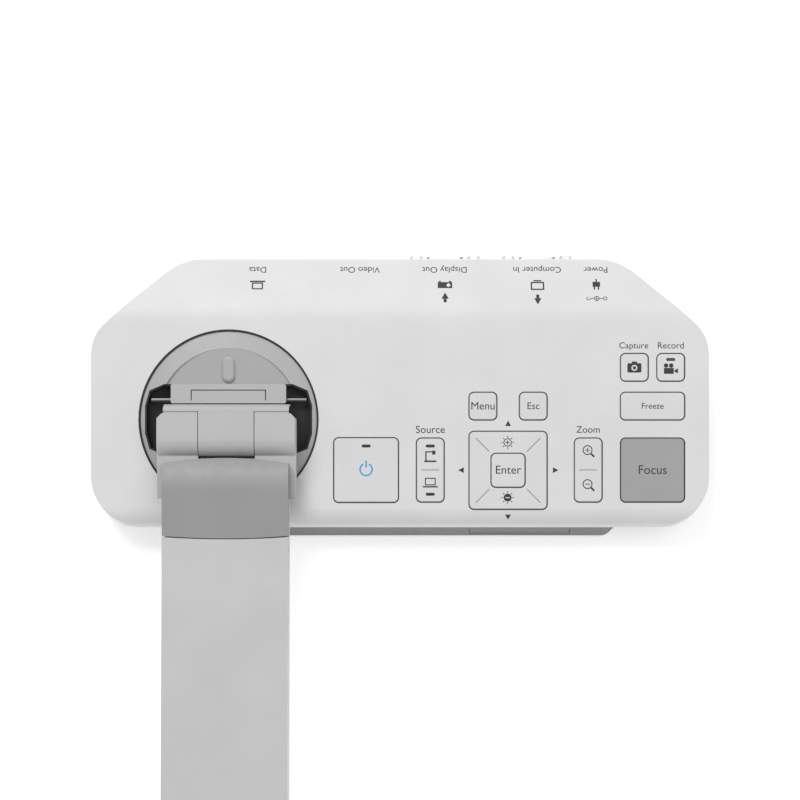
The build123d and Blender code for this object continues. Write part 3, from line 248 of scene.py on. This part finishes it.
M = {
    "shell": moulded("shell_white", grey(0.74), 0.50, grain=2200, relief=0.03),
    "key": moulded("key_white", grey(0.72), 0.42, grain=2600, relief=0.02),
    "mid": moulded("mid_grey", grey(0.375), 0.45, grain=2200, relief=0.025),
    # root cap: the focus key's mid-grey plastic, made darker as painted shade
    "cap": moulded("root_cap_painted_shade_grey", grey(0.315), 0.40, grain=2200, relief=0.02),
    "plinth": moulded("plinth_grey", grey(0.20), 0.55, grain=1500, relief=0.05),
    # turret, saddle and knuckle are the arm's light-grey plastic; these copies are darkened as painted shade
    "turret": moulded("turret_painted_shade_grey", grey(0.44), 0.45, grain=2000, relief=0.03),
    "saddle": moulded("saddle_painted_shade_grey", grey(0.50), 0.45, grain=2000, relief=0.03),
    "knuckle": moulded("knuckle_painted_shade_grey", grey(0.52), 0.45, grain=2000, relief=0.03),
    "arm": moulded("arm_grey", grey(0.58), 0.45, grain=2000, relief=0.03),
    "black": moulded("black_plastic", grey(0.022), 0.45, grain=1500, relief=0.04),
    "rubber": moulded("rubber", grey(0.035), 0.8, grain=1200, relief=0.08, specular=0.25),
    # steel darkened as painted shade, for the rods that sit in the shade of the pocket
    "shade_darkened_steel": metal("steel_painted_shade", (0.26, 0.26, 0.27), 0.40, stretch=(0.05, 1, 1)),
    "foil": metal("rating_foil", (0.55, 0.55, 0.55), 0.42, stretch=(0.1, 1, 1)),
    "lamp": moulded("lamp_phosphor", (0.85, 0.74, 0.30), 0.35, grain=3000, relief=0.006),
    "steel": metal("turned_steel", (0.56, 0.56, 0.57), 0.32, stretch=(0.05, 1, 1)),
    "nickel": metal("nickel", (0.66, 0.65, 0.63), 0.42, relief=0.002),
    "alloy": metal("cast_alloy", (0.60, 0.61, 0.62), 0.45, relief=0.04),
    "board": circuit_board("circuit_board"),
    "glass": coated_glass("lens_coating"),
    "diffuser": moulded("frosted_diffuser", (0.88, 0.88, 0.85), 0.6, grain=900, relief=0.08),
    "indicator": moulded("smoked_window", grey(0.045), 0.2, grain=3000, relief=0.005),
    "ink": moulded("black_ink", grey(0.035), 0.5, grain=4000, relief=0.004),
    "grey_ink": moulded("grey_ink", grey(0.14), 0.5, grain=4000, relief=0.004),
    "cyan_ink": moulded("cyan_ink", (0.02, 0.36, 0.62), 0.5, grain=4000, relief=0.004),
}

NODE_MATERIALS = {
    "shell": ["top_cover"],
    "key": ["power_key", "menu_key", "escape_key", "enter_key", "capture_key", "record_key", "freeze_key",
            "source_rocker", "zoom_rocker", "menu_pad"],
    "mid": ["focus_key"],
    "cap": ["root_cap"],
    "plinth": ["bottom_cover", "slot_cover"],
    # the turret, saddle and knuckle greys below are darker copies of the arm grey, painted shade
    "turret": ["turret_disc"],
    "saddle": ["saddle_block", "saddle_lid"],
    "knuckle": ["hinge_bracket", "root_knuckles", "hinge_cheeks"],
    "arm": ["lower_arm_top", "lower_arm_bottom", "upper_arm_front", "upper_arm_rear", "neck_block",
            "head_top", "head_bottom"],
    "rubber": ["rubber_feet", "elbow_pads"],
    "steel": ["base_screws", "head_screws", "hinge_shaft", "elbow_shaft", "tilt_shaft",
              "swivel_spindle", "ballast_plate"],
    # pocket rods: steel darkened as painted shade
    "shade_darkened_steel": ["pocket_rods"],
    "nickel": ["jack_screws", "analog_video_ports", "digital_video_port", "data_port"],
    "black": ["power_jack", "key_switches", "lens_barrel", "lamp_switch", "swivel_bush", "pocket_liner"],
    "alloy": ["lower_arm_beam", "upper_arm_beam", "elbow_yoke"],
    "board": ["main_board", "button_board", "camera_board"],
    "glass": ["lens_glass"],
    "diffuser": ["lamp_diffuser"],
    "indicator": ["power_indicator", "record_indicator", "source_indicators"],
}


def dress_nodes():
    """Gives every CAD node its material."""
    for key, names in NODE_MATERIALS.items():
        for name in names:
            for slot in frame["nodes"][name].material_slots:
                slot.material = M[key]


# ---- Printed marks ----------------------------------------------------------------------------
INK = 0.05
LIFT = 0.02
KEY_FACE = -0.1


def circle(x, y, radius, steps=32):
    turn = 2 * math.pi / steps
    return [(x + radius * math.cos(i * turn), y + radius * math.sin(i * turn)) for i in range(steps)]


def ring(x, y, radius, width):
    return [circle(x, y, radius + width / 2), circle(x, y, radius - width / 2)[::-1]]


def oblong(x, y, width, height):
    return [(x - width / 2, y - height / 2), (x + width / 2, y - height / 2),
            (x + width / 2, y + height / 2), (x - width / 2, y + height / 2)]


def window(x, y, width, height, line):
    """Outline of an oblong, line wide."""
    return [oblong(x, y, width, height), oblong(x, y, width - 2 * line, height - 2 * line)[::-1]]


def stroke(x0, y0, x1, y1, width):
    """Straight line as a narrow four-sided shape."""
    length = math.hypot(x1 - x0, y1 - y0)
    side_x, side_y = -(y1 - y0) / length * width / 2, (x1 - x0) / length * width / 2
    return [(x0 + side_x, y0 + side_y), (x0 - side_x, y0 - side_y), (x1 - side_x, y1 - side_y),
            (x1 + side_x, y1 + side_y)]


def arc_band(x, y, radius, width, start, end, steps=28):
    """Open ring from start to end, in degrees."""
    angles = [math.radians(start + (end - start) * i / steps) for i in range(steps + 1)]
    outer = [(x + (radius + width / 2) * math.cos(a), y + (radius + width / 2) * math.sin(a)) for a in angles]
    inner = [(x + (radius - width / 2) * math.cos(a), y + (radius - width / 2) * math.sin(a)) for a in angles]
    return outer + inner[::-1]


def rounded(x, y, width, height, radius, steps=8):
    """Oblong with round corners."""
    points = []
    for corner, (side_x, side_y) in enumerate(((1, 1), (-1, 1), (-1, -1), (1, -1))):
        mid_x, mid_y = x + side_x * (width / 2 - radius), y + side_y * (height / 2 - radius)
        for step in range(steps + 1):
            angle = math.radians(90 * (corner + step / steps))
            points.append((mid_x + radius * math.cos(angle), mid_y + radius * math.sin(angle)))
    return points


def triangle(x, y, size, degrees):
    """Triangle that points the way degrees says."""
    angles = [math.radians(degrees + turn) for turn in (0, 125, 235)]
    return [(x + size * math.cos(angle), y + size * math.sin(angle)) for angle in angles]


def to_mesh(name, curve, place, body, material):
    """Turns a filled curve in millimetres into a thin solid mesh piece that rides on a body."""
    holder = bpy.data.objects.new(name + "_outline", curve)
    bpy.context.scene.collection.objects.link(holder)
    bpy.context.view_layer.update()
    mesh = bpy.data.meshes.new_from_object(holder.evaluated_get(bpy.context.evaluated_depsgraph_get()))
    bpy.data.objects.remove(holder)
    bpy.data.curves.remove(curve)
    mesh.transform(place @ Matrix.Scale(MM, 4))
    work = bmesh.new()
    work.from_mesh(mesh)
    bmesh.ops.remove_doubles(work, verts=work.verts, dist=1e-7)
    bmesh.ops.recalc_face_normals(work, faces=work.faces)
    work.to_mesh(mesh)
    work.free()
    mesh.materials.clear()
    mesh.materials.append(material)
    piece = bpy.data.objects.new(name, mesh)
    bpy.context.scene.collection.objects.link(piece)
    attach(piece, body)
    return piece


def printed(name, outlines, place, body, material=M["ink"]):
    """Printed shape made of closed outlines; an outline inside another is a hole."""
    curve = bpy.data.curves.new(name, "CURVE")
    curve.dimensions = "2D"
    curve.fill_mode = "BOTH"
    curve.extrude = INK / 2
    for outline in outlines:
        spline = curve.splines.new("POLY")
        spline.points.add(len(outline) - 1)
        for point, (x, y) in zip(spline.points, outline):
            point.co = (x, y, 0, 1)
        spline.use_cyclic_u = True
    return to_mesh(name, curve, place, body, material)


def lettered(name, words, size, place, body, material=M["ink"]):
    """Plain word centred on its place."""
    curve = bpy.data.curves.new(name, "FONT")
    curve.body = words
    curve.size = size
    curve.align_x = "CENTER"
    curve.align_y = "CENTER"
    curve.extrude = INK / 2
    return to_mesh(name, curve, place, body, material)


def panel_place(x, u, n=0.0):
    return facing(on_panel(x, u, n + LIFT), ACROSS, NORMAL)


POWER_X, SOURCE_X, MENU_X, ESCAPE_X, PAD_X, ZOOM_X = -14.55, 13.0, 35.6, 57.2, 46.4, 80.8
CAPTURE_X, RECORD_X, FREEZE_X = 100.6, 116.2, 108.4
LOW_ROW, MID_ROW, TOP_ROW = -30.1, -2.64, 14.0


def make_power_marks():
    marks = [arc_band(0, 0, 2.6, 0.62, 118, 422), oblong(0, 2.3, 0.62, 3.0)]
    printed("power_mark", marks, panel_place(POWER_X, LOW_ROW + 0.3, KEY_FACE), "power_key", M["cyan_ink"])


def make_source_marks():
    line = 0.42
    stand = [[(-2.6, -2.65), (2.6, -2.65), (2.6, -1.95), (-1.6, -1.95), (-1.6, 1.5), (0.8, 1.5),
              (0.8, 0.6), (2.2, 0.6), (2.2, 2.3), (0.8, 2.3), (0.8, 2.0), (-2.15, 2.0),
              (-2.15, -1.95), (-2.6, -1.95)]]
    printed("table_camera_mark", stand, panel_place(SOURCE_X, LOW_ROW + 6.1, KEY_FACE), "source_rocker")
    laptop = window(0, 0.7, 4.6, 3.2, line) + [oblong(0, -1.55, 6.4, 0.6)]
    printed("laptop_mark", laptop, panel_place(SOURCE_X, LOW_ROW - 5.6, KEY_FACE), "source_rocker")
    printed("source_divider", [oblong(0, 0, 7.6, 0.28)], panel_place(SOURCE_X, LOW_ROW + 0.1, KEY_FACE),
            "source_rocker", M["grey_ink"])


def make_zoom_marks():
    for name, rise, plus in (("zoom_in_mark", 8.2, True), ("zoom_out_mark", -6.4, False)):
        marks = ring(-0.3, 0.4, 1.9, 0.42)
        marks += [stroke(1.1, -1.0, 2.6, -2.5, 0.75), oblong(-0.3, 0.4, 1.9, 0.36)]
        if plus:
            marks += [oblong(-0.3, 1.06, 0.36, 0.76), oblong(-0.3, -0.26, 0.36, 0.76)]
        printed(name, marks, panel_place(ZOOM_X, LOW_ROW + rise, KEY_FACE), "zoom_rocker")
    printed("zoom_divider", [oblong(0, 0, 7.6, 0.28)], panel_place(ZOOM_X, LOW_ROW + 0.1, KEY_FACE),
            "zoom_rocker", M["grey_ink"])


def sun(x, y, minus):
    """Brightness mark with rays: a ring round a plus, or a filled disc with a minus left clear."""
    if minus:
        marks = [circle(x, y, 1.7), oblong(x, y, 1.9, 0.42)]
    else:
        marks = ring(x, y, 1.6, 0.36)
        marks += [oblong(x, y, 1.7, 0.36), oblong(x, y + 0.52, 0.36, 0.68), oblong(x, y - 0.52, 0.36, 0.68)]
    for step in range(8):
        angle = math.radians(45 * step)
        marks.append(stroke(x + 2.1 * math.cos(angle), y + 2.1 * math.sin(angle),
                            x + 2.75 * math.cos(angle), y + 2.75 * math.sin(angle), 0.34))
    return marks


def make_pad_marks():
    near, far = 8.1, 13.9
    diagonals = [stroke(near * a, near * b, far * a, far * b, 0.28) for a in (-1, 1) for b in (-1, 1)]
    pad_middle = panel_place(PAD_X, LOW_ROW - 0.1, KEY_FACE)
    printed("pad_diagonals", diagonals, pad_middle, "menu_pad", M["grey_ink"])
    printed("brighter_mark", sun(-0.2, 11.9, False), panel_place(PAD_X, LOW_ROW, KEY_FACE), "menu_pad")
    printed("dimmer_mark", sun(-0.2, -11.8, True), panel_place(PAD_X, LOW_ROW, KEY_FACE), "menu_pad")
    arrows = (("arrow_up", 0, 19.8, 90), ("arrow_left", -19.9, 0, 180), ("arrow_right", 20.1, 0, 0))
    for name, x, u, degrees in arrows:
        printed(name, [triangle(0, 0, 1.5, degrees)], panel_place(PAD_X + x, LOW_ROW + u), "base")
    # the lower arrow lies on the rounded front edge of the panel
    lean = math.radians(26)
    normal = NORMAL * math.cos(lean) - UPWARD * math.sin(lean)
    place = facing(on_panel(PAD_X, -50.0, -0.79), ACROSS, normal)
    printed("arrow_down", [triangle(0, 0, 1.5, 270)], place, "base")


def make_small_key_marks():
    camera = [rounded(0, -0.2, 6.0, 4.0, 0.6), circle(0, -0.2, 1.3), circle(0, -0.2, 0.7),
              oblong(0, 2.17, 2.2, 0.7)]
    printed("still_camera_mark", camera, panel_place(CAPTURE_X, TOP_ROW, KEY_FACE), "capture_key")
    film = [oblong(-0.8, -0.6, 4.2, 2.5), circle(-2.0, 1.7, 0.95), circle(0.2, 1.7, 0.95),
            [(1.5, -0.8), (3.1, -1.7), (3.1, 0.5), (1.5, -0.4)]]
    printed("video_camera_mark", film, panel_place(RECORD_X, TOP_ROW - 0.9, KEY_FACE), "record_key")


def make_words():
    on_cover = (("source_word", "Source", 4.5, SOURCE_X, -12.8), ("zoom_word", "Zoom", 4.1, ZOOM_X, -12.8),
                ("capture_word", "Capture", 3.8, CAPTURE_X - 0.3, 23.3),
                ("record_word", "Record", 3.9, RECORD_X, 23.3))
    for name, words, size, x, u in on_cover:
        lettered(name, words, size, panel_place(x, u), "base")
    on_keys = (("menu_word", "Menu", 4.7, MENU_X, MID_ROW, "menu_key"),
               ("escape_word", "Esc", 4.2, ESCAPE_X, MID_ROW, "escape_key"),
               ("freeze_word", "Freeze", 3.6, FREEZE_X, MID_ROW, "freeze_key"),
               ("enter_word", "Enter", 5.1, PAD_X, LOW_ROW, "enter_key"),
               ("focus_word", "Focus", 5.4, FREEZE_X, LOW_ROW, "focus_key"))
    for name, words, size, x, u, body in on_keys:
        lettered(name, words, size, panel_place(x, u, KEY_FACE), body)


KEY_SIZES = {
    "power_key": (POWER_X, LOW_ROW, 27.5, 27.5), "menu_key": (MENU_X, MID_ROW, 11.6, 11.6),
    "escape_key": (ESCAPE_X, MID_ROW, 11.6, 11.6), "capture_key": (CAPTURE_X, TOP_ROW, 11.6, 11.6),
    "record_key": (RECORD_X, TOP_ROW, 11.6, 11.6), "freeze_key": (FREEZE_X, MID_ROW, 27.3, 11.6),
    "focus_key": (FREEZE_X, LOW_ROW, 27.2, 27.2), "source_rocker": (SOURCE_X, LOW_ROW, 11.6, 27.2),
    "zoom_rocker": (ZOOM_X, LOW_ROW, 11.6, 27.2), "menu_pad": (PAD_X, LOW_ROW - 0.1, 33.2, 33.2),
    "enter_key": (PAD_X, LOW_ROW - 0.1, 14.3, 14.3),
}
# the last two widths set the black ring of painted shade in each key gap
CAP_ROUND, GAP_SHADE_NEAR, GAP_SHADE_FAR = 2.0, 0.12, 0.44


def make_key_gap_shade_rings():
    """Black ring painted in the gap round each key as painted shade; the one round the enter key is on the
    pad.
    """
    for name, (x, u, width, depth) in KEY_SIZES.items():
        outer = rounded(0, 0, width + 2 * GAP_SHADE_FAR, depth + 2 * GAP_SHADE_FAR, CAP_ROUND + GAP_SHADE_FAR)
        inner = rounded(0, 0, width + 2 * GAP_SHADE_NEAR, depth + 2 * GAP_SHADE_NEAR, CAP_ROUND + GAP_SHADE_NEAR)[::-1]
        body = "menu_pad" if name == "enter_key" else "base"
        printed(name + "_gap_shade_ring", [outer, inner], panel_place(x, u, -0.22), body, M["black"])


def make_hidden_details():
    """Lamps behind the diffuser, a ring round the lens and a blank rating plate under the base."""
    down = Vector((0, 0, -1))
    leftward = Vector((-1, 0, 0))
    low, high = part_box("lamp_diffuser")
    middle = Vector(((low[0] + high[0]) / 2, (low[1] + high[1]) / 2, low[2] - LIFT * MM))
    lamps = [circle(x, y, 1.1, 24) for x in (-7, -3.5, 0, 3.5, 7) for y in (-2.4, 2.4)]
    printed("lamps", lamps, facing(middle, leftward, down), "head", M["lamp"])
    low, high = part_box("lens_barrel")
    middle = Vector(((low[0] + high[0]) / 2, (low[1] + high[1]) / 2, low[2] - LIFT * MM))
    printed("lens_ring", ring(0, 0, 10.2, 0.35), facing(middle, leftward, down), "head", M["grey_ink"])
    low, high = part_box("bottom_cover")
    plate = Vector((0.048, 0.004, low[2] - LIFT * MM))
    printed("rating_plate", [rounded(0, 0, 46, 22, 1.5)], facing(plate, leftward, down), "base", M["foil"])
    rules = [oblong(0, 6 - 4 * row, 38 - 5 * (row % 2), 0.5) for row in range(4)]
    above_plate = facing(plate + 2.5 * LIFT * MM * down, leftward, down)
    printed("rating_rules", rules, above_plate, "base", M["grey_ink"])


def make_well_gap_shade():
    """Black ring painted in the gap round the turret as painted shade."""
    gap_shade_ring = [circle(0, 0, 38.64, 128), circle(0, 0, 37.97, 128)[::-1]]
    printed("well_gap_shade_ring", gap_shade_ring, panel_place(TURRET_X / MM, TURRET_U / MM, -0.35), "base", M["black"])


# ---- Rear slope marks -------------------------------------------------------------------------
RIDGE_Y, RIDGE_Z, REAR_Y, REAR_Z = 31.56, 43.58, 57.25, 37.69
SLOPE = (RIDGE_Z - REAR_Z) / (REAR_Y - RIDGE_Y)


def rear_place(x, y):
    """Place on the rear slope, to be read from behind."""
    normal = Vector((0, SLOPE, 1)).normalized()
    height = RIDGE_Z - (y - RIDGE_Y) * SLOPE
    return facing(MM * Vector((x, y, height)) + normal * LIFT * MM, -ACROSS, normal)


def make_rear_marks():
    word_y, icon_y, arrow_y = 51.6, 44.4, 37.9
    for name, words, x in (("display_word", "Display Out", 19.4), ("computer_word", "Computer In", 59.3),
                           ("video_word", "Video Out", -17.3), ("data_word", "Data", -61.5),
                           ("power_word", "Power", 84.7)):
        lettered(name, words, 4.0, rear_place(x, word_y), "base")
    projector = [oblong(0, 0.2, 6.2, 2.9), circle(-1.5, 0.2, 0.85, 20), oblong(-2.2, -1.6, 0.9, 0.5),
                 oblong(2.2, -1.6, 0.9, 0.5)]
    monitor = window(0, 0.6, 5.8, 3.9, 0.6) + [oblong(0, -1.9, 3.4, 0.6)]
    laptop = window(0, 0.6, 4.8, 3.3, 0.55) + [oblong(0, -1.6, 6.6, 0.7)]
    for name, marks, x in (("projector_mark", projector, 19.4), ("monitor_mark", monitor, 59.3),
                           ("data_laptop_mark", laptop, -61.5)):
        printed(name, marks, rear_place(x, icon_y), "base")
    for name, x, tip in (("display_arrow", 19.4, 270), ("computer_arrow", 59.3, 90)):
        sign = 1 if tip == 90 else -1
        arrow = [triangle(0, 1.0 * sign, 1.9, tip), oblong(0, -1.0 * sign, 1.3, 1.7)]
        printed(name, arrow, rear_place(x, arrow_y), "base")
    plug = [oblong(0, -0.2, 3.2, 2.4), oblong(-0.85, 1.7, 0.6, 1.3), oblong(0.85, 1.7, 0.6, 1.3),
            oblong(0, -2.1, 0.6, 1.3)]
    printed("plug_mark", plug, rear_place(84.7, icon_y), "base")
    polarity = ring(0, 0, 1.0, 0.35) + [circle(0, 0, 0.4, 16)]
    polarity += [oblong(-2.1, 0, 1.5, 0.3), oblong(2.1, 0, 1.5, 0.3)]
    polarity += ring(-3.6, 0, 0.75, 0.28) + ring(3.6, 0, 0.75, 0.28)
    printed("polarity_mark", polarity, rear_place(84.7, arrow_y), "base")


make_camera()
make_floor()
make_light()
dress_nodes()
make_power_marks()
make_source_marks()
make_zoom_marks()
make_pad_marks()
make_small_key_marks()
make_words()
make_well_gap_shade()
make_key_gap_shade_rings()
make_hidden_details()
make_rear_marks()
